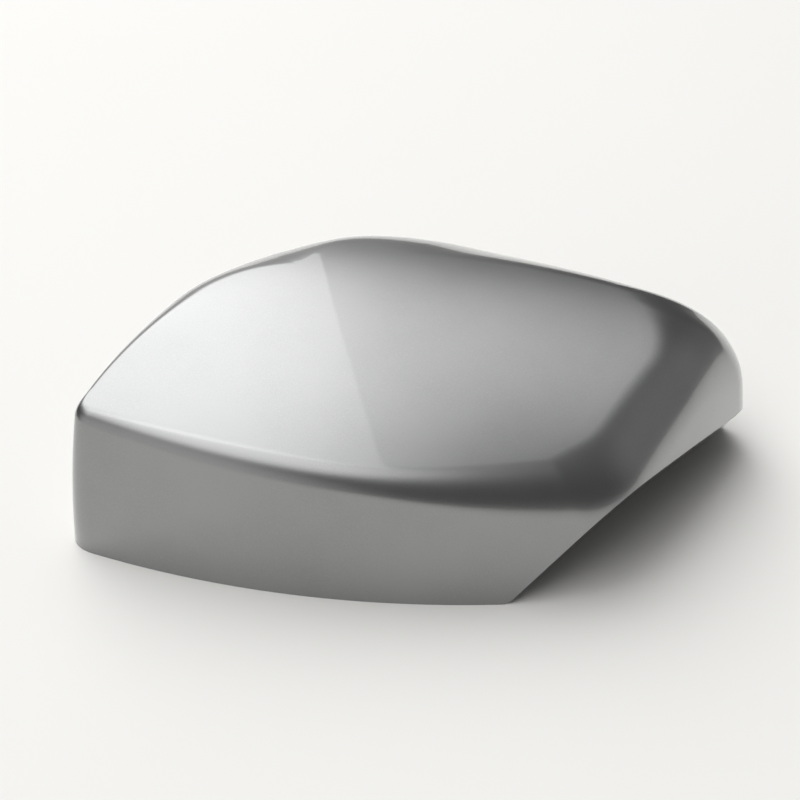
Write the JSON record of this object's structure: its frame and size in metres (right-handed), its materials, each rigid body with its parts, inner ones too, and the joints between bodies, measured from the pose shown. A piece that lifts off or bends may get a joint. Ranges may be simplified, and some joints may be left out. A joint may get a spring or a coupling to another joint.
{
  "type": "wing mirror cover",
  "caption": "Painted clip-on cover for a car door mirror: a thin curved shell, open underneath, with a slanted cut-out for the mirror arm and clips inside.",
  "frame": {"origin": "centre of the bounding box on the rim plane, where the cover rests", "axes": "+X toward the door end, +Y toward the mirror's top edge, +Z out through the crown"},
  "size_m": [0.255, 0.1775, 0.081],
  "materials": {
    "silver_paint": "metallic silver base coat under gloss clear coat on the outside, bare dark moulding inside"
  },
  "bodies": {
    "root": {"mirror_cover": "silver_paint"}
  },
  "joints": []
}
